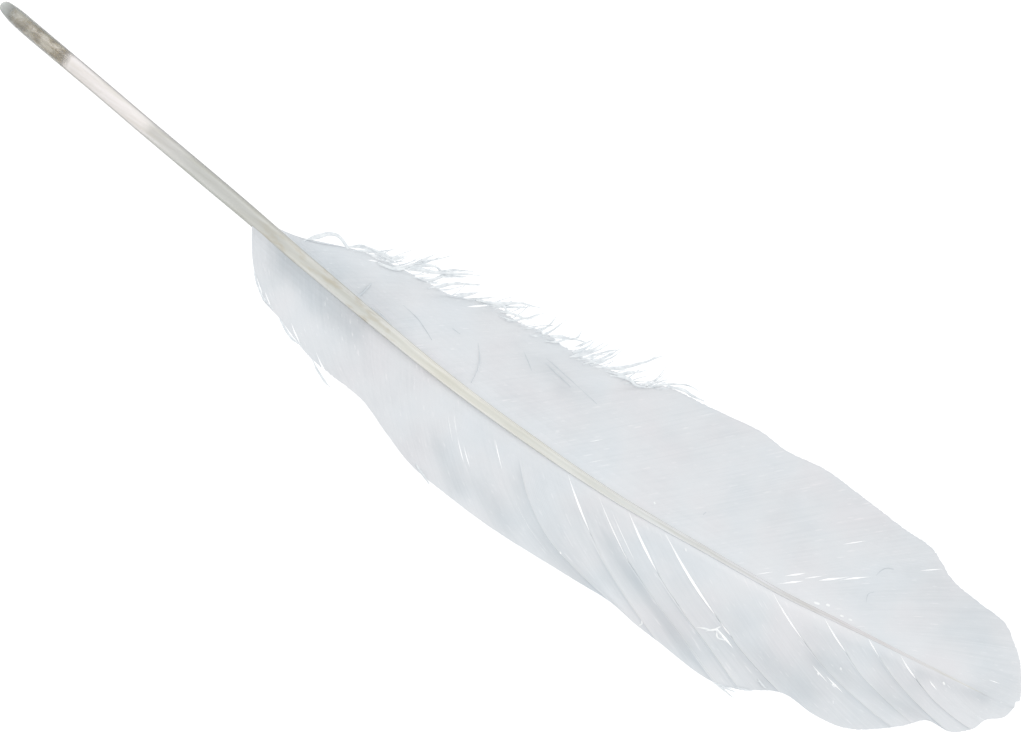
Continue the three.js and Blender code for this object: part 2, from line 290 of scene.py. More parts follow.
def grownHornQuill():
    # keratin horn, grown as a tube: glossy and nearly clear around the pulp at its end,
    # milky and waxy further up, cream along the solid rachis, with painted highlights on the
    # ridges beside its groove and painted shade along the sides of the shaft
    material = newMaterial("grownHornQuill")
    coordinates = addNode(material, "ShaderNodeTexCoord")
    place = addNode(material, "ShaderNodeSeparateXYZ", links={0: (coordinates, "Object")})
    along = addNode(
        material, "ShaderNodeMapRange",
        {"From Min": featherOrigin.x * mm, "From Max": (featherOrigin.x + featherLength) * mm},
        {"Value": (place, "X")},
    )
    stops = [(x / featherLength, colour) for x, colour in quillLook["zones"]]
    zones = colourRamp(material, stops, (along, "Result"))
    section = addNode(material, "ShaderNodeAttribute", {"attribute_name": "section"})
    across = addNode(material, "ShaderNodeSeparateXYZ", links={0: (section, "Vector")})
    # painted shade and highlights across the shaft, for the quill, its hollow part and the rachis
    paintedReliefShade = colourRamp(material, quillLook["quillShadeAcross"], (across, "X"))
    for part, blend in (("hollowShadeAcross", "Y"), ("rachisShadeAcross", "Z")):
        following = colourRamp(material, quillLook[part], (across, "X"))
        paintedReliefShade = addNode(
            material, "ShaderNodeMixRGB", {},
            {"Fac": (across, blend), "Color1": (paintedReliefShade, "Color"), "Color2": (following, "Color")},
        )
    # the painted shade and highlights laid over the colour of the horn along the shaft
    grooved = addNode(
        material, "ShaderNodeMixRGB", {"blend_type": "MULTIPLY", "Fac": 1.0},
        {"Color1": (zones, "Color"), "Color2": (paintedReliefShade, "Color")},
    )
    # grain runs along the shaft
    length, width = (1 / (size * mm) for size in quillLook["grainSize"])
    grain = addNode(
        material, "ShaderNodeMapping", {"Scale": (length, width, width)},
        {"Vector": (coordinates, "Object")},
    )
    streaks = addNode(
        material, "ShaderNodeTexNoise", {"Scale": 1.0, "Detail": 4.0}, {"Vector": (grain, "Vector")}
    )
    veins = colourRamp(material, [(0.3, "#f0efea"), (0.6, "#ffffff")], (streaks, "Fac"))
    veined = addNode(
        material, "ShaderNodeMixRGB", {"blend_type": "MULTIPLY", "Fac": 1.0},
        {"Color1": (grooved, "Color"), "Color2": (veins, "Color")},
    )
    # brown blotches on the root of the rachis
    length, width = (1 / (size * mm) for size in quillLook["stainSize"])
    blotchPlace = addNode(
        material, "ShaderNodeMapping", {"Scale": (length, width, width)},
        {"Vector": (coordinates, "Object")},
    )
    blotches = addNode(
        material, "ShaderNodeTexNoise", {"Scale": 1.0, "Detail": 3.0},
        {"Vector": (blotchPlace, "Vector")},
    )
    # they fade out over the ends of the stained stretch
    low, high = ((featherOrigin.x + x) * mm for x in quillLook["stained"])
    fromStart = addNode(
        material, "ShaderNodeMath", {"operation": "SUBTRACT", 1: low}, {0: (place, "X")}
    )
    fromEnds = addNode(
        material, "ShaderNodeMath", {"operation": "PINGPONG", 1: (high - low) / 2},
        {0: (fromStart, 0)},
    )
    inside = addNode(
        material, "ShaderNodeMath",
        {"operation": "COMPARE", 1: (low + high) / 2, 2: (high - low) / 2}, {0: (place, "X")},
    )
    edge = addNode(
        material, "ShaderNodeMapRange",
        {"From Max": quillLook["stainFade"] * mm, "To Max": quillLook["stainDepth"]},
        {"Value": (fromEnds, 0)},
    )
    amount = addNode(
        material, "ShaderNodeMath", {"operation": "MULTIPLY"}, {0: (inside, 0), 1: (edge, 0)}
    )
    spots = addNode(
        material, "ShaderNodeMapRange", {"From Min": 0.5, "From Max": 0.68},
        {"Value": (blotches, "Fac"), "To Max": (amount, 0)},
    )
    colour = addNode(
        material, "ShaderNodeMixRGB", {"Color2": linearColour(quillLook["stain"])},
        {"Fac": (spots, "Result"), "Color1": (veined, "Color")},
    )
    # the ramp's greys are sRGB, and the gamma node brings them back to plain shares
    stops = []
    for x, value in quillLook["clearness"]:
        grey = f"{round(255 * value):02x}"
        stops.append((x / featherLength, "#" + grey * 3))
    greys = colourRamp(material, stops, (along, "Result"))
    clearness = addNode(
        material, "ShaderNodeGamma", {"Gamma": 1 / 2.2}, {"Color": (greys, "Color")}
    )
    bump = addNode(
        material, "ShaderNodeBump", {"Strength": 0.12, "Distance": quillLook["grainBump"] * mm},
        {"Height": (streaks, "Fac")},
    )
    glossy, waxy = quillLook["roughness"]
    clearEnd, hornStart = (x / featherLength for x in quillLook["clearEndsAt"])
    polish = addNode(
        material, "ShaderNodeMapRange",
        {"From Min": clearEnd, "From Max": hornStart, "To Min": glossy, "To Max": waxy},
        {"Value": (along, "Result")},
    )
    horn = addNode(
        material, "ShaderNodeBsdfPrincipled", {"IOR": 1.54},
        {"Base Color": (colour, "Color"), "Normal": (bump, "Normal"),
         "Roughness": (polish, "Result"), "Transmission Weight": (clearness, "Color")},
    )
    addNode(material, "ShaderNodeOutputMaterial", links={"Surface": (horn, 0)})
    return material


def driedPulp(name, stops, grain):
    # pulp and its membranes, dried inside the quill: matt and blotchy
    material = newMaterial(name)
    coordinates = addNode(material, "ShaderNodeTexCoord")
    blotches = addNode(
        material, "ShaderNodeTexNoise", {"Scale": 1 / (grain * mm), "Detail": 3.0},
        {"Vector": (coordinates, "Object")},
    )
    colour = colourRamp(material, stops, (blotches, "Fac"))
    pulp = addNode(
        material, "ShaderNodeBsdfPrincipled", {"Roughness": 0.8, "IOR": 1.45},
        {"Base Color": (colour, "Color")},
    )
    addNode(material, "ShaderNodeOutputMaterial", links={"Surface": (pulp, 0)})
    return material


# Shaft

shaftForm = {
    # place along, place across, width, height
    "stations": [
        (0.5, 0.0, 0.0, 0.0), (0.8, -0.1, 1.8, 1.8), (1.4, -0.2, 2.7, 2.7), (2.8, -0.4, 3.4, 3.4),
        (5, -0.7, 4.0, 4.0), (9, -1.2, 4.2, 4.2), (20, -2.3, 4.2, 4.2), (32, -3.5, 4.2, 4.2),
        (44, -4.8, 4.2, 4.2), (56, -6.0, 4.2, 4.2), (68, -7.2, 4.2, 4.2), (78, -8.2, 4.1, 4.1),
        (86, -9.1, 4.0, 4.0), (94, -10.0, 3.9, 3.9), (102, -10.8, 3.8, 3.8), (112, -11.8, 3.6, 3.7),
        (122, -12.7, 3.4, 3.6), (132, -13.6, 3.2, 3.4), (144, -14.4, 3.0, 3.2),
        (156, -14.85, 2.85, 3.0), (168, -15.05, 2.7, 2.8), (180, -15.1, 2.5, 2.6),
        (192, -14.8, 2.25, 2.35), (204, -14.0, 1.95, 2.1), (216, -13.0, 1.7, 1.85),
        (228, -12.05, 1.5, 1.6), (240, -10.9, 1.3, 1.35), (252, -9.15, 1.1, 1.1),
        (264, -7.5, 0.85, 0.85), (276, -5.9, 0.65, 0.6), (284, -4.75, 0.48, 0.44),
        (289, -4.1, 0.32, 0.3), (293, -3.6, 0.12, 0.12),
    ],
    # half of the rachis's section, from its flat back up to the groove
    "section": [
        (0, 0), (0.3, 0), (0.45, 0.09), (0.5, 0.38), (0.49, 0.72), (0.44, 0.95), (0.36, 1),
        (0.25, 0.92), (0, 0.88),
    ],
    "around": 48,
    "ringSpacing": 1.6,
    "endRings": [0.53, 0.6, 0.75, 1.0, 1.5, 2.1, 2.8, 3.6, 4.6],  # over the rounded end
    "hollowEndRings": [1.4, 1.7, 2.2, 3.0, 4.0, 5],
    "sectionChanges": (66, 112),  # from a round quill to a grooved rachis
    "axisHeight": 2.1,  # of the round quill
    "endLength": 10,  # of the quill's rounded end
    "quillLift": 3.2,
    "quillLiftsFrom": 62,
    "tipLift": 2.4,
    "tipLiftsFrom": 252,
    "wall": 0.25,
    "hollowTo": 88,
}
shaftEnd = shaftForm["stations"][-1][0]
shaftCurve = smoothCurve(shaftForm["stations"])
lastCorner = len(shaftForm["section"]) - 1
sectionCurve = smoothCurve([(i / lastCorner, *point) for i, point in enumerate(shaftForm["section"])])


def lift(x):
    quill = max(0, 1 - x / shaftForm["quillLiftsFrom"])
    tip = max(0, (x - shaftForm["tipLiftsFrom"]) / (featherLength - shaftForm["tipLiftsFrom"]))
    return shaftForm["quillLift"] * quill**2 + shaftForm["tipLift"] * tip**2


def shaftAt(x):
    y, width, height = shaftCurve(x)
    ahead, behind = min(shaftEnd, x + 0.5), max(0, x - 0.5)
    along = Vector((ahead - behind, shaftCurve(ahead)[0] - shaftCurve(behind)[0])).normalized()
    return Vector((x, y)), Vector((-along.y, along.x)), width, height


def loft(bm, count, stations, pointAt):
    # draws a ring along the stations by extruding its cap
    place = bm.verts.layers.int.get("place") or bm.verts.layers.int.new("place")
    ring = bmesh.ops.create_circle(bm, cap_ends=True, segments=count, radius=1)["verts"]
    for i, vert in enumerate(ring):
        vert[place] = i
        vert.co = pointAt(stations[0], i)
    cap = ring[0].link_faces[0]
    for number, station in enumerate(stations[1:]):
        made = bmesh.ops.extrude_face_region(bm, geom=[cap])["geom"]
        if number:
            bmesh.ops.delete(bm, geom=[cap], context="FACES_ONLY")
        cap = next(item for item in made if isinstance(item, bmesh.types.BMFace))
        for vert in cap.verts:
            vert.co = pointAt(station, vert[place])


def shaftSkin(inset):
    # a function for the points of the shaft's outside, or of a skin that far inside it
    low, high = shaftForm["sectionChanges"]
    around = shaftForm["around"]

    def pointAt(x, i):
        centre, across, width, height = shaftAt(x)
        turn = i / around * 2 * math.pi
        half = i / around * 2 if i <= around / 2 else 2 - i / around * 2
        grooved = sectionCurve(half)
        side = 1 if i <= around / 2 else -1
        blend = smoothStep(low, high, x)
        sideways = mix(0.5 * math.sin(turn), side * grooved[0], blend)
        upward = max(0, mix(0.5 - 0.5 * math.cos(turn), grooved[1], blend))
        scale = max(0.05, (width - 2 * inset) / width) if width else 0
        sideways *= scale
        upward = 0.5 + (upward - 0.5) * scale
        base = shaftForm["axisHeight"] - height / 2 if x < shaftForm["endLength"] else 0
        flat = centre + across * (sideways * width)
        return toScene(flat.x, flat.y, base + upward * height + lift(x))

    return pointAt


def finish(bm, name, material, smooth=True):
    for face in bm.faces:
        face.smooth = smooth
    mesh = bpy.data.meshes.new(name)
    bm.to_mesh(mesh)
    bm.free()
    mesh.materials.append(material)
    piece = bpy.data.objects.new(name, mesh)
    bpy.context.scene.collection.objects.link(piece)
    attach(piece, "root")
    return piece


def stationsBetween(start, end, step):
    count = max(1, round((end - start) / step))
    return [start + (end - start) * i / count for i in range(count + 1)]


def makeShaft(material):
    bm = bmesh.new()
    section = bm.verts.layers.float_vector.new("section")
    *outer, last = shaftForm["endRings"]
    outer += stationsBetween(last, shaftEnd, shaftForm["ringSpacing"])
    loft(bm, shaftForm["around"], outer, shaftSkin(0))
    bmesh.ops.recalc_face_normals(bm, faces=bm.faces[:])
    outside = set(bm.faces)
    *inner, last = shaftForm["hollowEndRings"]
    inner += stationsBetween(last, shaftForm["hollowTo"], shaftForm["ringSpacing"])
    loft(bm, shaftForm["around"], inner, shaftSkin(shaftForm["wall"]))
    inside = [face for face in bm.faces if face not in outside]
    bmesh.ops.recalc_face_normals(bm, faces=inside)
    bmesh.ops.reverse_faces(bm, faces=inside)
    # where each point is across the shaft, and how far it is into the hollow quill and
    # into the rachis, for the material
    for vert in bm.verts:
        flat = (vert.co / mm - featherOrigin).to_2d()
        centre, across, width = shaftAt(flat.x)[:3]
        vert[section] = (
            0.5 + (flat - centre).dot(across) / max(width, 0.1),
            smoothStep(*quillLook["hollowFrom"], flat.x),
            smoothStep(*shaftForm["sectionChanges"], flat.x),
        )
    piece = finish(bm, "quill_shaft_skin", material)
    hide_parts("quill_shaft")
    return piece


# What is sealed in the hollow quill: where it lies, how much of the hollow it fills, how
# crumpled it is, its colours, the size of its blotches in millimetres
pulpForm = {
    "dried_pulp": {
        "spans": [(2.6, 21.4)], "fill": 0.97, "crumple": 0.16,
        "colours": [(0.39, "#908058"), (0.49, "#c0b089"), (0.58, "#fbf7ec")], "grain": 2.8,
    },
    "pulp_caps": {
        "spans": [(21.9, 27.7), (27.8, 34.1), (34.2, 39.9), (40.0, 46.3)], "fill": 0.97,
        "crumple": 0.05, "colours": [(0.35, "#fbf0ef"), (0.6, "#fffbf9")], "grain": 4,
    },
    "pulp_membrane": {
        "spans": [(46.6, 87.2)], "fill": 0.96, "crumple": 0.05,
        "colours": [(0.35, "#c8c9c4"), (0.65, "#d6d6d3")], "grain": 5,
    },
}
pulpFit = {"gap": 0.1, "roundedEnds": 0.9, "ringSpacing": 0.45}


def makePulp():
    hollowSkin = shaftSkin(shaftForm["wall"] + pulpFit["gap"])
    for number, (name, form) in enumerate(pulpForm.items()):
        bm = bmesh.new()
        for start, end in form["spans"]:

            def crumpled(x, i):
                centre = shaftAt(x)[0]
                core = toScene(*centre, shaftForm["axisHeight"] + lift(x))
                turn = i / shaftForm["around"] * 2 * math.pi
                dent = noise.noise(Vector((x * 0.8, math.sin(turn) * 2, math.cos(turn) * 2 + number)))
                toEnd = min(x - start, end - x)
                ends = math.sqrt(min(1, toEnd / pulpFit["roundedEnds"]))
                reach = (form["fill"] + form["crumple"] * dent) * max(0.05, ends)
                return core + (hollowSkin(x, i) - core) * reach

            rings = stationsBetween(start, end, pulpFit["ringSpacing"])
            loft(bm, shaftForm["around"], rings, crumpled)
        bmesh.ops.recalc_face_normals(bm, faces=bm.faces[:])
        material = driedPulp(name, form["colours"], form["grain"])
        finish(bm, name, material)


# Vanes

vaneForm = {
    # place of a barb's root along the shaft, the point that bends it, its tip
    "broad": [
        (84, 86, -7.3, 89, -7.0), (88, 91, -5.8, 96, -4.7), (90, 95, -4.3, 103, -1.4),
        (94, 100, -3.3, 109.5, 0.5), (99, 106, -3.0, 116.5, 1.7), (105, 113, -3.0, 124, 2.5),
        (111, 119, -3.0, 131, 3.4), (117, 125, -3.0, 138, 6.9),
        (123, 132, -3.2, 146, 7.0), (131, 141, -3.0, 155, 8.4),
        (139, 149, -3.0, 164, 8.6), (147, 158, -2.5, 173, 10.2), (153, 165, -2.0, 181, 11.4),
        (158, 170, -1.0, 186, 14.4), (168, 181, -1.0, 197, 16.2), (180, 194, -0.8, 211, 18.4),
        (188, 202, -0.5, 219, 18.1), (197, 211, 0.0, 229, 19.6), (210, 224, 0.5, 242, 19.2),
        (221, 235, 1.0, 253, 18.6), (229, 243, 1.5, 261, 18.6), (233.5, 247.5, 1.5, 265.5, 16.9),
        (238, 252, 1.0, 270, 14.9), (245, 259, 1.5, 278, 14.1), (252, 266, 2.0, 286, 13.6),
        (259, 272, 1.5, 291, 10.8), (266, 279, 1.2, 295, 7.6), (273, 285, 0.0, 298, 3.6),
        (280, 290, -1.0, 300, 0.2), (287, 294, -1.8, 299.4, -0.9), (292.4, 296, -3.3, 299.9, -2.3),
    ],
    "narrow": [
        (81, 85, -18.5, 93, -23.8), (84, 89, -20.5, 99, -25.2), (88, 93.5, -21.5, 105, -27.2),
        (94, 100, -22.5, 111, -28.9), (100, 107, -24.0, 118, -29.4), (108, 115, -24.5, 127, -30.2),
        (116, 123, -25.0, 136, -33.4), (124, 131, -26.0, 145, -36.3), (132, 139, -27.0, 154, -37.3),
        (143, 151, -28.0, 170, -38.0), (155.5, 169, -31.0, 192, -37.1),
        (163, 178, -31.5, 204, -36.5), (170, 187, -31.0, 212, -37.5),
        (177.5, 195.5, -30.2, 219, -37.9), (186, 208, -31.0, 233, -38.7),
        (195, 216, -29.5, 241.5, -36.6), (205, 228.5, -27.6, 251, -31.2),
        (215, 238, -27.5, 261, -31.1), (225, 248, -25.5, 270, -28.9),
        (235, 256, -23.0, 279, -22.0), (249, 267, -19.5, 284, -16.8),
        (261, 275, -15.5, 290.5, -15.8), (269.5, 282, -13.5, 294.4, -12.3),
        (280, 289, -9.5, 296, -8.4), (288, 294, -6.5, 299.2, -5.4), (292.4, 296, -3.0, 299.9, -1.9),
    ],
    "barbSpacing": 0.45,  # along the shaft
    "barbSteps": 14,
    "overlap": 0.58,  # half of a barb's width, as a share of the spacing
    "crest": 0.06,  # how far a barb's middle stands up, as a share of half its width
    "keel": (0.16, 0.07),  # how deep it is below its edges, at its root and at its tip
    "tilt": (0.015, 0.03),  # how far one edge dips and the other rises, as a share of its width
    "springs": 0.42,  # how far from the shaft's middle a barb starts, as a share of its width
    # height of a barb's root at the tip of the shaft, what a thick shaft adds to it, and how
    # the barb then goes up with its share and with the square of that
    "rise": {1: (0.2, 0.55, -1.6, 3.8), -1: (0.25, 0.8, -0.8, 2.3)},
    "thickShaft": 1.6,
    "flatStart": (84, 130, 0.35),  # between these roots barbs come to curve up in full
    "swell": 0.5,  # how much the vane waves towards its edge
    "curl": 0.12,  # how much the height of barb ends varies
    # how much the length of barbs varies, along the shaft
    "fray": {
        1: [(84, 0.004), (98, 0.012), (140, 0.012), (152, 0.004), (292.4, 0.003)],
        -1: [(81, 0.012), (100, 0.012), (125, 0.003), (292.4, 0.003)],
    },
    # how high up the shaft's side the barbs spring, along the shaft
    "seat": {
        1: [(80, 0.8), (292.4, 0.8)],
        -1: [(80, 0.85), (104, 0.78), (122, 0.5), (158, 0.5), (182, 0.75), (292.4, 0.8)],
    },
    "seatFade": 0.09,  # share of the barb over which it comes down from there
}
barbCurves = {1: smoothCurve(vaneForm["broad"]), -1: smoothCurve(vaneForm["narrow"])}
seatCurves = {side: smoothCurve(rows) for side, rows in vaneForm["seat"].items()}
frayCurves = {side: smoothCurve(rows) for side, rows in vaneForm["fray"].items()}

# Webs of each vane: piece, side, first and last root
webs = [
    ("broad_vane", 1, 84, 233.5),
    ("broad_vane_tip", 1, 233.5, 292.4),
    ("narrow_vane_base", -1, 81, 163),
    ("narrow_vane_web_2", -1, 163, 177.5),
    ("narrow_vane_web_3", -1, 177.5, 186),
    ("narrow_vane_web_4", -1, 186, 195),
    ("narrow_vane_web_5", -1, 195, 205),
    ("narrow_vane_web_6", -1, 205, 235),
    ("narrow_vane_web_7", -1, 235, 249),
    ("narrow_vane_web_8", -1, 249, 261),
    ("narrow_vane_web_9", -1, 261, 269.5),
    ("narrow_vane_tip", -1, 269.5, 292.4),
]

# Slits between barbs: side, root, share of the barb where it opens and closes, how far it
# gapes (mm along the shaft), how far its neighbours make room
slitSkew = 1.3  # above 1, a slit gapes most nearer the tip of the barb
slits = [
    (-1, 177.5, 0.0, 0.37, 0.85, 2.0),
    (-1, 186, 0.0, 0.39, 0.5, 1.5),
    (-1, 188.7, 0.02, 0.36, 0.28, 1.2),
    (-1, 195, 0.0, 0.34, 1.1, 2.0),
    (-1, 195, 0.44, 0.56, 0.8, 1.2),
    (-1, 205, 0.0, 0.5, 1.4, 2.5),
    (-1, 205, 0.52, 0.63, 1.3, 1.2),
    (-1, 202, 0.6, 0.68, 1.2, 1.0),
    (-1, 235, 0.0, 0.33, 0.8, 2.0),
    (-1, 231, 0.54, 0.6, 0.5, 0.8),
    (-1, 232.2, 0.6, 0.7, 0.9, 0.8),
    (-1, 249, 0.0, 0.29, 0.8, 2.0),
    (-1, 261, 0.0, 0.16, 0.7, 1.2),
    (-1, 269.5, 0.02, 0.29, 0.9, 1.5),
    (-1, 274.6, 0.23, 0.35, 1.0, 0.8),
    (-1, 280.2, 0.2, 0.27, 0.6, 0.8),
    (-1, 142.0, 0.14, 0.5, 0.16, 1.5),
    (-1, 143.7, 0.12, 0.39, 0.16, 1.5),
    (-1, 143.5, 0.39, 0.53, 0.5, 0.8),
    (-1, 145.2, 0.4, 0.54, 0.5, 0.8),
    (-1, 155.3, 0.12, 0.31, 0.45, 1.2),
    (-1, 131.8, 0.08, 0.25, 0.14, 1.0),
    (-1, 104.2, 0.07, 0.15, 0.5, 0.8),
    (-1, 81.5, 0.64, 0.9, 0.9, 1.0),
    (-1, 83.0, 0.7, 0.95, 0.6, 0.8),
    (-1, 90.6, 0.73, 0.95, 1.3, 1.5),
    (-1, 97.4, 0.8, 1.3, 1.2, 1.2),
    (-1, 127.6, 0.9, 1.3, 0.8, 0.8),
    (1, 229.4, 0.0, 0.08, 0.8, 0.8),
    (1, 231.6, 0.14, 0.25, 0.8, 0.8),
    (1, 234.2, 0.05, 0.21, 0.9, 0.8),
    (1, 233.4, 0.24, 0.34, 0.5, 1.0),
    (1, 235.0, 0.28, 0.44, 0.9, 1.2),
    (1, 235.3, 0.41, 0.58, 0.6, 1.0),
    (1, 223.2, 0.64, 0.76, 0.5, 0.8),
    (1, 234.7, 0.85, 0.98, 0.4, 0.8),
    (1, 276.2, 0.66, 0.73, 0.6, 0.8),
    (1, 171.2, 0.25, 0.32, 0.25, 0.8),
    (1, 182.4, 0.13, 0.21, 0.22, 0.8),
    (1, 178.2, 0.06, 0.17, 0.22, 0.8),
    (1, 97.0, 0.72, 0.85, 0.8, 0.8),
    (1, 100.0, 0.8, 0.92, 0.9, 0.8),
    (1, 118.5, 0.78, 0.96, 0.8, 0.8),
]

# Where a web of the narrow vane laps the one before it: root, share of the barb where the
# lap starts, how far it covers (mm along the shaft), how high it rides, and how far its
# edge drifts along the shaft at 0.7 of the barb and at its end
laps = [
    (163, 0.1, 1.0, 0.2, -3.5, 0.5),
    (177.5, 0.34, 0.9, 0.15, -0.7, -1.0),
    (186, 0.36, 1.0, 0.15, 4.5, 4.5),
    (195, 0.31, 0.8, 0.2, 0.8, 0.0),
    (205, 0.47, 1.0, 0.25, 0.0, 0.0),
    (235, 0.31, 0.8, 0.2, 0.3, 0.5),
    (249, 0.26, 0.8, 0.2, -3.0, -8.0),
    (261, 0.14, 0.6, 0.2, 1.0, 1.0),
    (269.5, 0.27, 0.3, 0.3, 0.0, 0.0),
]
lapDrift = {
    root: smoothCurve([(starts, 0), (0.7, middle), (1.0, end)])
    for root, starts, covers, rides, middle, end in laps
}
lapForm = {
    "closing": 0.25,  # share of the barb over which a lap closes
    "lift": (0.05, 0.4),  # share of the barb over which the lapping web comes up
    # how many millimetres along the shaft the drift and the cover take to fade
    "driftFade": 8,
    "coverFade": 2.5,
    "driftReach": 30,
    # share of the lap's height that its web goes up, its fade and its reach, and the same
    # for how the covered web goes down
    "over": (0.6, 4, 14),
    "under": (0.25, 3, 8),
}


def partedRoot(side, edge, root, share):
    # where along the shaft a barb's edge seems to spring from, after slits and laps
    moved = edge
    for slitSide, place, start, end, gape, room in slits:
        if slitSide != side or abs(root - place) > 4 * room or not start < share < end:
            continue
        opened = math.sin(math.pi * ((share - start) / (end - start)) ** slitSkew)
        push = gape / 2 * opened * math.exp(-abs(edge - place) / room)
        moved += push if root > place else -push
    if side < 0:
        for place, starts, covers, *rest in laps:
            away = abs(edge - place)
            if abs(root - place) < lapForm["driftReach"] and share > starts:
                moved += lapDrift[place](share)[0] * math.exp(-away / lapForm["driftFade"])
                if root > place:
                    closed = smoothStep(starts, starts + lapForm["closing"], share)
                    moved -= covers * closed * math.exp(-away / lapForm["coverFade"])
    return moved


def barbPoint(side, root, share):
    centre, across, width = shaftAt(root)[:3]
    slim = min(1, (shaftEnd - root) / 6)
    start = centre + across * (side * width * vaneForm["springs"] * slim)
    bendX, bendY, tipX, tipY = barbCurves[side](root)
    bend, tip = Vector((bendX, bendY)), Vector((tipX, tipY))
    return start * (1 - share) ** 2 + bend * (2 * share * (1 - share)) + tip * share**2


def vaneHeight(side, root, share):
    height = shaftAt(root)[3]
    thick = smoothStep(0, vaneForm["thickShaft"], height)
    start, end, least = vaneForm["flatStart"]
    grown = mix(least, 1, smoothStep(start, end, root))
    low, more, slope, curve = vaneForm["rise"][side]
    level = low + thick * (more + slope * share + curve * grown * share**2)
    seat = seatCurves[side](root)[0] * height
    level = mix(level, max(level, seat), math.exp(-share / vaneForm["seatFade"]))
    if side < 0:
        up, upFade, upReach = lapForm["over"]
        down, downFade, downReach = lapForm["under"]
        lifted = smoothStep(*lapForm["lift"], share)
        for place, starts, covers, rides, *drift in laps:
            away = root - place
            if 0 <= away < upReach:
                level += rides * up * lifted * math.exp(-away / upFade)
            elif -downReach < away < 0:
                level -= rides * down * lifted * math.exp(away / downFade)
    # swells are about 20 mm long and ripples 3 mm
    swell = noise.noise(Vector((root * 0.05, share * 1.3, side * 5.0)))
    ripple = noise.noise(Vector((root * 0.3, share * 1.1, side * 9.0)))
    level += share * (vaneForm["swell"] * swell + vaneForm["curl"] * ripple)
    return level + lift(root)


# Painted shade and painted light on the vanes, with some of their own uneven tone: how much
# lighter or darker, how far it spreads, the line it lies along
shades = [
    (-0.95, 3.6, [(93, -13.4), (104, -15.8), (115, -17)]),
    (-0.1, 3.0, [(88, -12), (92, -17)]),
    (0.3, 3.5, [(98, -20), (107, -24)]),
    (-0.7, 2.6, [(149, -29), (158, -34.5)]),
    (-0.6, 2.8, [(163, -31.5), (174, -36)]),
    (-0.25, 1.8, [(168.5, -25), (172, -28.5), (176, -30.5)]),
    (-0.55, 2.2, [(180, -32.8), (190, -35.3), (198, -36.8)]),
    (-0.6, 3.2, [(90, -8), (104, -7.5), (124, -8.5)]),
    (-0.2, 3.2, [(150, 3.5), (160, 2), (172, 1)]),
    (0.2, 3.0, [(222, -9), (240, -7.5), (262, -4.5), (284, -3)]),
    (0.3, 3.2, [(222, -17), (240, -13.5), (252, -10.5)]),
    (-0.7, 1.7, [(194, -24), (200.6, -27), (212.8, -31.1), (226.8, -35.7)]),
    (-0.3, 2.5, [(250, -13.5), (262, -11.5), (276, -9.5)]),
    (-0.25, 2.0, [(150.5, 2.6), (156.5, -1.2)]),
    (-0.35, 2.0, [(157, 2.6), (161, 0.8), (166, -0.9)]),
    (0.3, 3.5, [(146, 4), (160, 6.5), (184, 10)]),
    (-0.55, 3.0, [(243, -26.5), (256, -27.5)]),
    (-0.6, 2.4, [(255, -19), (268, -19), (280, -17)]),
    (-0.35, 6.0, [(262, 10), (284, 8), (292, 0)]),
    (-0.3, 6.0, [(225, -33), (262, -27)]),
    (-0.4, 3.0, [(270, -14.5), (276, -13.5)]),
    (-0.6, 1.8, [(276, -7.6), (285, -5.8), (292, -4.6)]),
    (0.3, 4.0, [(140, -20), (150, -21)]),
    (0.25, 4.0, [(124, -2), (134, 1)]),
    (-0.12, 4.0, [(214, 4), (226, 4)]),
    (-0.15, 8.0, [(176, -27), (206, -27), (230, -25), (254, -20)]),
    (-0.25, 3.0, [(156, -10.5), (172, -9)]),
    (-0.25, 2.6, [(181, -29), (188, -31)]),
]
# Barbs are paler where they leave the shaft, partly their own colour and partly painted light
# against the shade that the standing shaft throws on them: how much on each side, how far,
# and the stretch of the shaft over which that sets in
paleAndLitRoots = {"amount": {1: 0.15, -1: 1.4}, "spread": 1.5, "from": {1: (125, 160), -1: (112, 140)}}
# Painted shadow that a lapping web throws on the covered web beside it, darkest along the
# edge that covers it, and a painted highlight along that edge
lapShade = {
    "closing": 0.2,
    "dark": -0.55, "darkSpread": 2.0,
    "line": -0.7, "lineSpread": 0.45,
    "pale": 0.9, "paleSpread": 0.35,
}


def distanceToLine(point, a, b):
    a, b = Vector(a), Vector(b)
    along = max(0, min(1, (point - a).dot(b - a) / (b - a).length_squared))
    return (point - mix(a, b, along)).length


def shadeAt(side, root, share, x, y):
    point = Vector((x, y))
    centre, width, height = shaftCurve(x)
    away = max(0, side * (y - centre) - width / 2)
    total = paleAndLitRoots["amount"][side] * math.exp(-((away / paleAndLitRoots["spread"]) ** 2))
    total *= smoothStep(*paleAndLitRoots["from"][side], x)
    total *= smoothStep(0, vaneForm["thickShaft"], height)
    for place, starts, covers, *rest in laps if side < 0 else []:
        closed = smoothStep(starts, starts + lapShade["closing"], share)
        under, over = place - covers - root, root - place
        if over > 0:
            total += closed * lapShade["pale"] * math.exp(-over / lapShade["paleSpread"])
        elif under > 0:
            total += closed * lapShade["dark"] * math.exp(-under / lapShade["darkSpread"])
            total += closed * lapShade["line"] * math.exp(-under / lapShade["lineSpread"])
    for value, spread, line in shades:
        nearest = min(distanceToLine(point, a, b) for a, b in zip(line, line[1:]))
        total += value * math.exp(-((nearest / spread) ** 2))
    return total


def straightBarb():
    # one barb, closed at both ends, from (0, 0) to (1, 0): a low ridge over a keel
    bm = bmesh.new()
    steps = vaneForm["barbSteps"]
    corners = [(-1, 0), (0, 1), (1, 0), (0, -1)]
    loft(bm, 4, [i / steps for i in range(steps + 1)], lambda x, i: Vector((x, *corners[i])))
    bmesh.ops.recalc_face_normals(bm, faces=bm.faces[:])
    mesh = bpy.data.meshes.new("straightBarb")
    bm.to_mesh(mesh)
    bm.free()
    return mesh


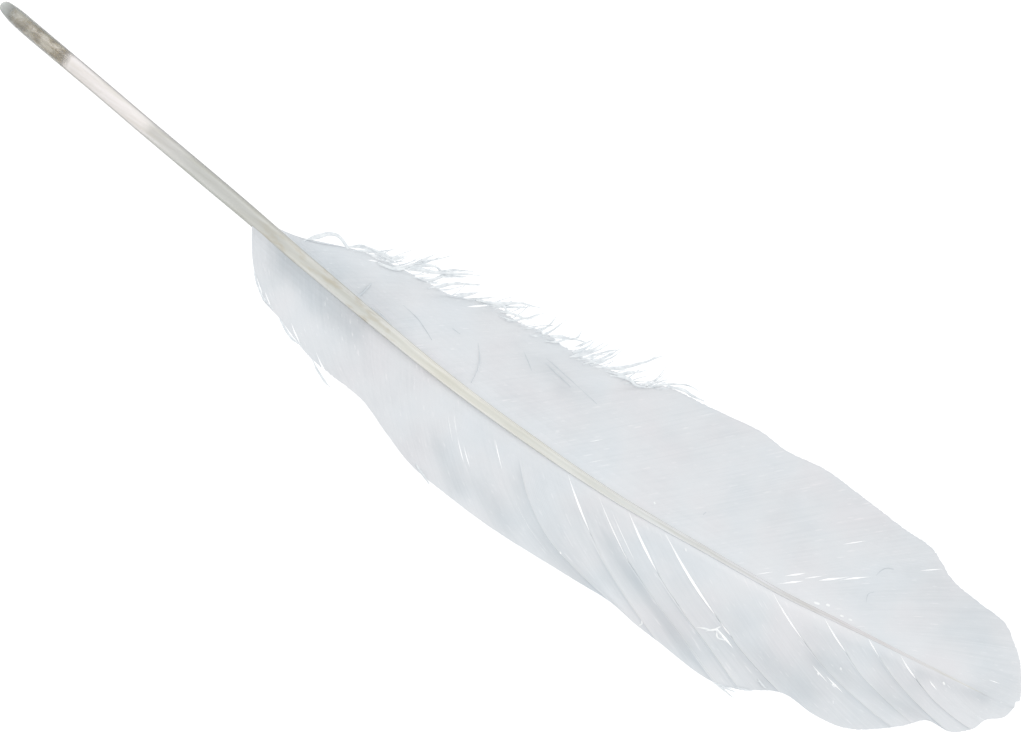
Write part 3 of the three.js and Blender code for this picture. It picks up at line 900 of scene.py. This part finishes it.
def makeWeb(name, side, first, last, barbShape, material):
    rng = random.Random(name)
    bm = bmesh.new()
    barbLayer = bm.verts.layers.float_vector.new("barb")
    shadeLayer = bm.verts.layers.float.new("shade")
    count = round((last - first) / vaneForm["barbSpacing"])
    spacing = (last - first) / count
    done = 0
    for n in range(count):
        root = first + (n + 0.5) * spacing
        hue = rng.random()
        longer = rng.uniform(-1, 1) * frayCurves[side](root)[0]
        tilt = rng.uniform(*vaneForm["tilt"])
        bm.from_mesh(barbShape)
        bm.verts.ensure_lookup_table()
        fresh = bm.verts[done:]
        done = len(bm.verts)
        rows = {}
        # a straight barb's points hold their share along it, and which corner they are at
        for vert in fresh:
            share, sideways, upward = vert.co
            key = round(share, 4)
            if key not in rows:
                half = spacing * vaneForm["overlap"]
                reach = share * (1 + longer)
                low = barbPoint(side, partedRoot(side, root - half, root, share), reach)
                high = barbPoint(side, partedRoot(side, root + half, root, share), reach)
                middle = (low + high) / 2
                ahead = barbPoint(side, partedRoot(side, root, root, share), reach + 0.02)
                width = abs((high - low).cross((ahead - middle).normalized()))
                levels = [
                    vaneHeight(side, root - half, reach), vaneHeight(side, root, reach),
                    vaneHeight(side, root + half, reach),
                ]
                shade = shadeAt(side, root, reach, *middle)
                rows[key] = ((low, middle, high), levels, width, shade)
            places, levels, width, shade = rows[key]
            corner = round(sideways) + 1
            place = places[corner]
            level = levels[corner] - sideways * width * tilt
            if upward > 0:
                level += width / 2 * vaneForm["crest"]
            elif upward < 0:
                level -= mix(*vaneForm["keel"], share)
            vert.co = toScene(place.x, place.y, max(lowest, level))
            vert[barbLayer] = (share, root, hue)
            vert[shadeLayer] = shade
    if side > 0:
        # on this side a straight barb is laid mirrored, which turns its faces in
        bmesh.ops.reverse_faces(bm, faces=bm.faces[:])
    piece = finish(bm, name + "_barbs", material, smooth=False)
    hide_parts(name)
    return piece


# Loose barbs
wispForm = {
    "count": 95,
    "roots": (92, 159),
    "from": (0.88, 0.93),  # a wisp heads along the barb between these shares, and starts there
    "length": (3.5, 8.0),
    "steps": 4,
    "splay": (7, 9),  # degrees away from the barb, mean and spread
    "bend": (1, 5),  # degrees at each step, mean and spread
    "width": (0.1, 0.2),
    "endWidth": 0.06,
    "seed": 4,
}
looseForm = {
    "steps": 14,
    # over the edge of the vane, and lying on it: how much wider than the widths below, and
    # thickness as a share of the width
    "overEdge": (2.5, 0.5),
    "onVane": (1.3, 0.15),
    # finer strands beside each one of the fringe, how wide and how long as a share of it
    "companions": 3,
    "companionWidth": (0.35, 0.7),
    "companionLength": (0.75, 1.0),
    "scatter": 0.2,
    "arch": (0.1, 0.5),
    "rootWidth": (0.2, 0.35),  # strands start this narrow, and are full at this share
    "seed": 11,
    # width at the start and the end, the line it follows
    "fringe": [
        (0.45, 0.3, [
            (92.9, -6.2), (94.7, -3.8), (96.6, -1.7), (98.7, -0.5), (100.6, -0.7), (103.1, -1.7),
        ]),
        (0.5, 0.2, [(102.1, -1.6), (105.1, 0.4), (107.5, 1.3), (110.5, 2.1), (114.2, 2.7)]),
        (0.25, 0.05, [(112.1, 2.3), (114.2, 3.2), (115.4, 4.4)]),
        (0.35, 0.15, [(104.1, -1.6), (107.8, 0.9), (110.8, 1.6), (114.0, 2.1)]),
        (0.55, 0.06, [
            (110.9, -0.2), (114.0, 0.4), (116.5, 1.9), (118.1, 3.9), (120.3, 6.3), (122.9, 9.0),
            (125.5, 12.0),
        ]),
        (0.3, 0.05, [(117.8, 3.5), (119.4, 5.9), (120.6, 8.0), (121.6, 9.6)]),
        (0.3, 0.2, [(116.5, 1.9), (118.8, 4.2), (121.8, 6.2), (123.8, 6.8), (126.3, 6.2)]),
        (0.6, 0.06, [
            (116.2, 1.5), (120.0, 3.8), (123.8, 5.5), (127.3, 7.7), (130.7, 9.7), (134.2, 11.5),
        ]),
        (0.3, 0.05, [(123.1, 5.2), (127.0, 8.2), (129.8, 10.1), (132.0, 11.2)]),
        (0.3, 0.05, [(124.9, 5.2), (128.4, 7.5), (131.4, 9.4)]),
        (0.4, 0.15, [(120.0, 1.6), (123.4, 3.0), (125.1, 4.8), (126.3, 7.0)]),
        (0.45, 0.05, [(124.5, 1.4), (127.0, 3.9), (129.6, 6.1), (132.4, 8.0), (134.9, 9.5)]),
        (0.6, 0.05, [
            (135.8, 5.6), (139.4, 7.2), (142.7, 9.3), (145.5, 11.3), (147.9, 12.1), (150.2, 13.1),
        ]),
        (0.5, 0.05, [(137.8, 5.8), (141.9, 7.9), (145.3, 9.9), (147.6, 11.7)]),
        (0.3, 0.05, [(139.8, 7.5), (142.0, 8.2), (143.9, 7.6), (146.9, 8.4), (149.8, 9.0)]),
        (0.35, 0.05, [(142.8, 5.7), (145.9, 6.5), (148.0, 8.5), (149.7, 10.4), (151.6, 12.7)]),
        (0.35, 0.1, [(142.2, 6.6), (145.0, 7.8), (148.0, 8.5)]),
        (0.35, 0.05, [(151.9, 7.2), (153.2, 8.7), (153.9, 10.7), (154.2, 13.2)]),
        (0.35, 0.05, [(153.2, 7.0), (154.8, 9.0), (155.8, 11.4), (156.6, 14.1)]),
        (0.4, 0.05, [
            (151.5, 6.0), (154.7, 7.8), (157.9, 9.7), (160.5, 11.0), (161.3, 12.3), (161.3, 13.8),
            (160.8, 14.8),
        ]),
        (0.2, 0.04, [(160.5, 11.0), (162.8, 11.9), (164.7, 12.2)]),
        (0.3, 0.08, [(155.3, 6.9), (157.7, 8.2), (159.2, 9.9), (160.7, 11.5)]),
        (0.35, 0.05, [(161.5, 6.9), (163.5, 9.2), (164.6, 11.5), (165.2, 14.0)]),
        (0.25, 0.05, [(162.0, 9.7), (163.4, 11.5), (164.6, 13.6)]),
        (0.55, 0.05, [(162.6, 7.1), (164.6, 9.4), (166.2, 12.1), (167.5, 15.0)]),
        (0.3, 0.05, [(163.6, 7.7), (165.4, 9.8), (167.2, 12.4), (168.5, 14.9)]),
        (0.35, 0.05, [(164.6, 7.6), (166.8, 10.4), (168.4, 12.4), (170.1, 14.2), (171.8, 15.6)]),
        (0.5, 0.05, [(166.1, 7.5), (168.6, 10.4), (170.2, 13.1), (171.3, 15.5)]),
        (0.3, 0.05, [(167.7, 8.2), (169.6, 10.6), (171.1, 13.2), (172.0, 15.7)]),
        (0.6, 0.05, [
            (169.2, 8.7), (172.5, 10.7), (174.8, 12.5), (177.0, 14.9), (178.8, 17.1), (180.2, 19.2),
            (181.4, 20.5),
        ]),
        (0.35, 0.05, [(171.3, 9.0), (174.5, 10.3), (176.8, 12.2), (178.6, 13.8), (180.1, 15.6)]),
        (0.5, 0.15, [(173.1, 8.9), (175.8, 10.3), (177.8, 10.8), (179.4, 10.5), (181.8, 11.4)]),
        (0.3, 0.06, [(182.4, 11.8), (185.2, 14.6), (188.4, 16.8), (190.7, 17.7), (194.4, 18.0)]),
        (0.5, 0.15, [(185.8, 14.5), (189.5, 16.0), (192.4, 16.1), (195.5, 16.7)]),
        (0.28, 0.05, [(111.3, -28.9), (113.5, -30.3), (116.8, -31.6), (119.0, -31.9)]),
        (0.35, 0.08, [(98.9, -25.0), (102.6, -26.9), (105.1, -27.5), (107.0, -27.4)]),
        (0.3, 0.1, [(87.1, -18.9), (89.5, -21.1), (92.6, -23.1), (96.3, -24.1)]),
        (0.4, 0.08, [(146.3, -35.6), (149.3, -36.8), (151.9, -37.7)]),
        (0.3, 0.05, [(235.7, -38.4), (238.7, -38.5), (240.9, -38.7), (242.7, -38.7)]),
        (0.3, 0.05, [(236.8, -38.3), (239.7, -37.8), (242.0, -37.3)]),
        (0.25, 0.05, [(241.0, -36.3), (243.4, -35.5), (245.0, -34.7)]),
        (0.25, 0.05, [(244.3, -31.6), (246.2, -32.2), (247.5, -32.4)]),
    ],
    # snapped ends of barbs, curled or caught on the vane
    "snapped": [
        (0.4, 0.25, [(225.1, -29.7), (227.0, -28.8), (228.7, -28.2), (229.8, -26.3)]),
        (0.45, 0.25, [(227.4, -29.3), (229.3, -27.6), (231.3, -27.9)]),
        (0.4, 0.2, [(229.5, -27.6), (230.8, -28.9), (232.8, -28.3)]),
        (0.3, 0.15, [(213.0, -35.8), (213.6, -36.6), (213.2, -37.2)]),
        (0.3, 0.15, [(259.8, -22.0), (260.6, -22.7), (261.4, -22.4)]),
        (0.25, 0.1, [(262.5, -25.6), (263.0, -26.3)]),
        (0.6, 0.4, [(245.2, -8.6), (246.7, -8.2)]),
        (0.6, 0.4, [(248.0, -7.4), (249.0, -7.1)]),
        (0.5, 0.3, [(252.3, -7.6), (253.3, -7.4)]),
        (0.5, 0.3, [(254.5, -7.2), (255.5, -7.0)]),
        (0.5, 0.3, [(282.1, -6.8), (282.9, -7.2)]),
        (0.4, 0.2, [(255.6, -22.1), (256.2, -22.6)]),
        (0.4, 0.2, [(259.5, -18.0), (260.1, -18.4)]),
        (0.4, 0.2, [(187.2, -33.3), (187.8, -33.7)]),
        (0.4, 0.2, [(199.3, -10.4), (199.9, -10.7)]),
        (0.4, 0.2, [(211.9, -15.4), (212.6, -15.9)]),
    ],
    # darker strands that lie over the vane: stray barbs, and dark lines put along seams of the
    # vane that lie in shade
    "strays": [
        (0.22, 0.1, [(142.1, -2.7), (144.8, -5.9), (145.7, -8.3), (146.2, -11.7)]),
        (0.2, 0.1, [(152.4, 1.9), (154.5, 0.6), (156.7, -0.9)]),
        (0.22, 0.1, [(158.4, 2.5), (162.2, 1.9), (166.9, 1.2)]),
        (0.18, 0.08, [(157.8, 3.6), (162.2, 3.1), (168.8, 2.2), (174.4, 1.4)]),
        (0.45, 0.2, [(110.6, -11.5), (111.8, -9.3), (112.2, -7.3), (112.4, -5.4)]),
        (0.2, 0.1, [(121.8, -5.4), (126.4, -6.1), (129.2, -7.1), (132.5, -8.5)]),
        (0.2, 0.08, [(134.8, -3.3), (137.3, -3.4)]),
        (0.18, 0.08, [(115.1, -10.3), (118.3, -10.2), (122.4, -11.0)]),
        (0.2, 0.08, [(254.1, 5.4), (254.4, 7.1), (255.3, 8.4), (256.7, 9.0)]),
        (0.16, 0.06, [(255.8, -1.4), (255.1, 0.5), (256.0, 1.8)]),
        (0.16, 0.06, [(211.0, -6.3), (211.2, -5.3)]),
    ],
}


def edgeWisps():
    # short barb ends that stray from the edge of the broad vane
    rng = random.Random(wispForm["seed"])
    rows = []
    for n in range(wispForm["count"]):
        root = rng.uniform(*wispForm["roots"])
        before, point = (barbPoint(1, root, share) for share in wispForm["from"])
        heading = (point - before).normalized()
        heading.rotate(Matrix.Rotation(math.radians(rng.gauss(*wispForm["splay"])), 2))
        bend = Matrix.Rotation(math.radians(rng.gauss(*wispForm["bend"])), 2)
        reach = rng.uniform(*wispForm["length"]) / wispForm["steps"]
        line = [tuple(point)]
        for step in range(wispForm["steps"]):
            point = point + heading * reach
            heading.rotate(bend)
            line.append(tuple(point))
        rows.append((rng.uniform(*wispForm["width"]), wispForm["endWidth"], line))
    return rows


longestBarb = 46  # how far along the feather a barb reaches from its root


def surfaceHeight(x, y):
    # height of the vane's top under a point, from the barb that passes nearest to it
    side = 1 if y > shaftCurve(x)[0] else -1
    rows = vaneForm["broad" if side > 0 else "narrow"]
    first, last = max(rows[0][0], x - longestBarb), min(rows[-1][0], x + 2)
    point = Vector((x, y))
    near = []
    for n in range(math.floor(last - first) + 1):
        for i in range(21):
            away = (barbPoint(side, first + n, i / 20) - point).length
            near.append((away, first + n, i / 20))
    away, root, share = min(near)
    return vaneHeight(side, root, share)


def makeStrands(name, rows, material, above, companions, widen, flatness):
    rng = random.Random(looseForm["seed"])
    bm = bmesh.new()
    # strands carry what the webs do, so that they can wear the vane's material too
    barbLayer = bm.verts.layers.float_vector.new("barb")
    shadeLayer = bm.verts.layers.float.new("shade")
    steps = looseForm["steps"]
    for number, (startWidth, endWidth, line) in enumerate(rows):
        levels = [surfaceHeight(*line[0]), surfaceHeight(*line[-1])]
        for copy in range(1 + companions):
            points, width, length = line, widen, 1
            if copy:
                points = [
                    (x + rng.gauss(0, looseForm["scatter"]), y + rng.gauss(0, looseForm["scatter"]))
                    for x, y in line
                ]
                width *= rng.uniform(*looseForm["companionWidth"])
                length = rng.uniform(*looseForm["companionLength"])
            last = len(points) - 1
            curve = smoothCurve([(i / last, *point) for i, point in enumerate(points)])
            arch = rng.uniform(*looseForm["arch"]) if companions else 0
            hue = rng.random()

            def pointAt(share, i):
                place = share * length
                x, y = curve(place)
                ahead, behind = curve(min(1, place + 0.01)), curve(max(0, place - 0.01))
                along = (Vector(ahead) - Vector(behind)).normalized()
                narrow, full = looseForm["rootWidth"]
                half = mix(startWidth, endWidth, share**0.8) / 2 * width
                half *= mix(narrow, 1, smoothStep(0, full, share))
                sideways = (-1, 0, 1, 0)[i] * half
                upward = (0, 1, 0, -1)[i] * half * flatness
                level = mix(*levels, place) + above + arch * math.sin(math.pi * place)
                level = max(lowest, level + upward)
                return toScene(x - along.y * sideways, y + along.x * sideways, level)

            before = len(bm.verts)
            loft(bm, 4, [i / steps for i in range(steps + 1)], pointAt)
            bm.verts.ensure_lookup_table()
            for vert in bm.verts[before:]:
                vert[barbLayer] = (0.5, number * 7.3 + copy, hue)
                vert[shadeLayer] = -0.1
    bmesh.ops.recalc_face_normals(bm, faces=bm.faces[:])
    piece = finish(bm, name, material, smooth=False)


print("shaft")
makeShaft(grownHornQuill())
makePulp()
print("vanes")
vaneMaterial = combedKeratinVane()
barbShape = straightBarb()
for name, side, first, last in webs:
    makeWeb(name, side, first, last, barbShape, vaneMaterial)
bpy.data.meshes.remove(barbShape)
print("loose barbs")
# piece, its strands, its material and colours, how far above the vane, companions, form
for name, rows, finishName, colours, above, companions, form in (
    ("loose_barbs", looseForm["fringe"], "downyFringe", ("#dadfe3", "#ebeff1"), 0.15,
     looseForm["companions"], "overEdge"),
    ("edge_wisps", edgeWisps(), "downyEdge", ("#dadfe3", "#ebeef0"), 0.1, 0, "overEdge"),
    ("snapped_barbs", looseForm["snapped"], "snappedBarb", ("#eef1f3", "#fafbfb"), 0.1, 0, "onVane"),
    ("stray_barbs", looseForm["strays"], "strayDownAndSeamShade", ("#c3cacf", "#d0d6da"), 0.08, 0, "onVane"),
):
    makeStrands(name, rows, looseStrandsAndSeamShade(finishName, colours), above, companions, *looseForm[form])

# Floor, light and camera
studio = {
    "floorSize": 4.0,
    "floorGap": 0.05,  # millimetres under the feather
    "floorColours": [(0, "#969696"), (1, "#9e9e9e")],
    "floorGlow": 0.85,
    "skyLight": (0.6, 1.1),  # at the horizon and overhead
    "lampPower": 2.5,
    "lampSize": 0.8,
    "lampPlace": (0.12, 0.5, 0.95),
    "cameraTurn": 34.41,
    "lens": 100,
    "sensor": 36,
    "viewWidth": 249.44,  # millimetres across the frame at the feather
    "aim": (152.3, -2.97, 1.0),
}


def makeStudio():
    bm = bmesh.new()
    bmesh.ops.create_grid(bm, x_segments=1, y_segments=1, size=studio["floorSize"] / 2)
    bmesh.ops.translate(bm, verts=bm.verts[:], vec=(0, 0, -studio["floorGap"] * mm))
    mesh = bpy.data.meshes.new("floor")
    bm.to_mesh(mesh)
    bm.free()
    floor = bpy.data.objects.new("floor", mesh)
    bpy.context.scene.collection.objects.link(floor)
    material = newMaterial("paintedBoard")
    coordinates = addNode(material, "ShaderNodeTexCoord")
    mottle = addNode(
        material, "ShaderNodeTexNoise", {"Scale": 8.0}, {"Vector": (coordinates, "Object")}
    )
    colour = colourRamp(material, studio["floorColours"], (mottle, "Fac"))
    board = addNode(
        material, "ShaderNodeBsdfPrincipled",
        {"Roughness": 0.9, "Emission Color": (1, 1, 1, 1), "Emission Strength": studio["floorGlow"],
         "Specular IOR Level": 0.0},
        {"Base Color": (colour, "Color")},
    )
    addNode(material, "ShaderNodeOutputMaterial", links={"Surface": (board, 0)})
    mesh.materials.append(material)

    world = bpy.data.worlds.new("studio")
    bpy.context.scene.world = world
    world.use_nodes = True
    world.node_tree.nodes.clear()
    direction = addNode(world, "ShaderNodeTexCoord")
    height = addNode(world, "ShaderNodeSeparateXYZ", links={0: (direction, "Generated")})
    low, high = studio["skyLight"]
    strength = addNode(
        world, "ShaderNodeMapRange", {"To Min": low, "To Max": high}, {"Value": (height, "Z")}
    )
    sky = addNode(
        world, "ShaderNodeBackground", {"Color": (1, 1, 1, 1)}, {"Strength": (strength, "Result")}
    )
    addNode(world, "ShaderNodeOutputWorld", links={"Surface": (sky, 0)})

    key = bpy.data.lights.new("softbox", "AREA")
    key.energy = studio["lampPower"]
    key.size = studio["lampSize"]
    lamp = bpy.data.objects.new("softbox", key)
    lamp.location = studio["lampPlace"]
    lamp.rotation_euler = (-lamp.location).to_track_quat("-Z", "Y").to_euler()
    bpy.context.scene.collection.objects.link(lamp)

    view = bpy.data.cameras.new("camera")
    view.lens = studio["lens"]
    view.sensor_width = studio["sensor"]
    distance = studio["viewWidth"] * studio["lens"] / studio["sensor"] * mm
    camera = bpy.data.objects.new("camera", view)
    camera.location = toScene(*studio["aim"]) + Vector((0, 0, distance))
    camera.rotation_euler = (0, 0, math.radians(studio["cameraTurn"]))
    bpy.context.scene.collection.objects.link(camera)
    bpy.context.scene.camera = camera
    bpy.context.scene.view_settings.view_transform = "Standard"


print("studio")
makeStudio()

bpy.context.view_layer.update()
